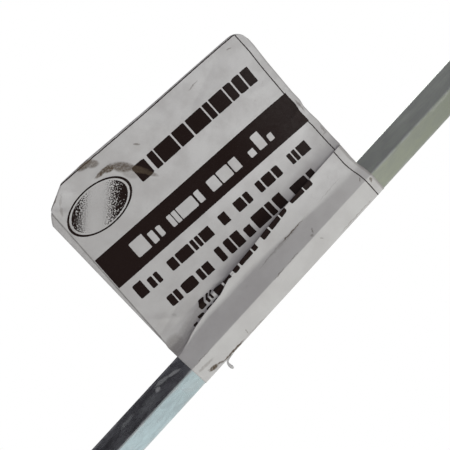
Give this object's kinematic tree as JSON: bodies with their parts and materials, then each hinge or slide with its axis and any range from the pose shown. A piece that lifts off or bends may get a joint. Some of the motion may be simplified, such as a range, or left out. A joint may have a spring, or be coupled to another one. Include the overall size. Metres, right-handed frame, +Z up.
{
  "type": "mortar mixing paddle",
  "caption": "Round cage mixing paddle of welded zinc-plated bar on a long hexagonal shank, with a paper label folded round the shank.",
  "frame": {"origin": "on the shaft's axis at the foot of the head, in the plane that the paddle stands on", "axes": "+Z up the shaft to the shank's end; the label's flag stands out towards -X; side rod 1 lies towards +X; -Y is the front, where an edge of the hexagon faces forwards"},
  "size_m": [0.1079, 0.1, 0.54],
  "materials": {
    "zinc_shaft": "bright zinc-plated drawn hexagonal bar, fine streaks along its length",
    "zinc_bar": "bright zinc-plated drawn round bar",
    "weld": "zinc-plated arc weld beads, rippled",
    "paper": "matt self-adhesive paper, slightly soiled, with plain dark printing"
  },
  "bodies": {
    "root": {"shaft": "zinc_shaft", "side_rod_1": "zinc_bar", "side_rod_2": "zinc_bar", "side_rod_3": "zinc_bar", "ring_1": "zinc_bar", "ring_2": "zinc_bar", "ring_3": "zinc_bar", "foot_weld_1": "weld", "foot_weld_2": "weld", "foot_weld_3": "weld", "neck_weld_1": "weld", "neck_weld_2": "weld", "neck_weld_3": "weld", "crossing_weld_1_1": "weld", "crossing_weld_1_2": "weld", "crossing_weld_1_3": "weld", "crossing_weld_2_1": "weld", "crossing_weld_2_2": "weld", "crossing_weld_2_3": "weld", "crossing_weld_3_1": "weld", "crossing_weld_3_2": "weld", "crossing_weld_3_3": "weld", "ring_seam_weld_1": "weld", "ring_seam_weld_2": "weld", "ring_seam_weld_3": "weld", "paper_label": "paper"}
  },
  "joints": []
}
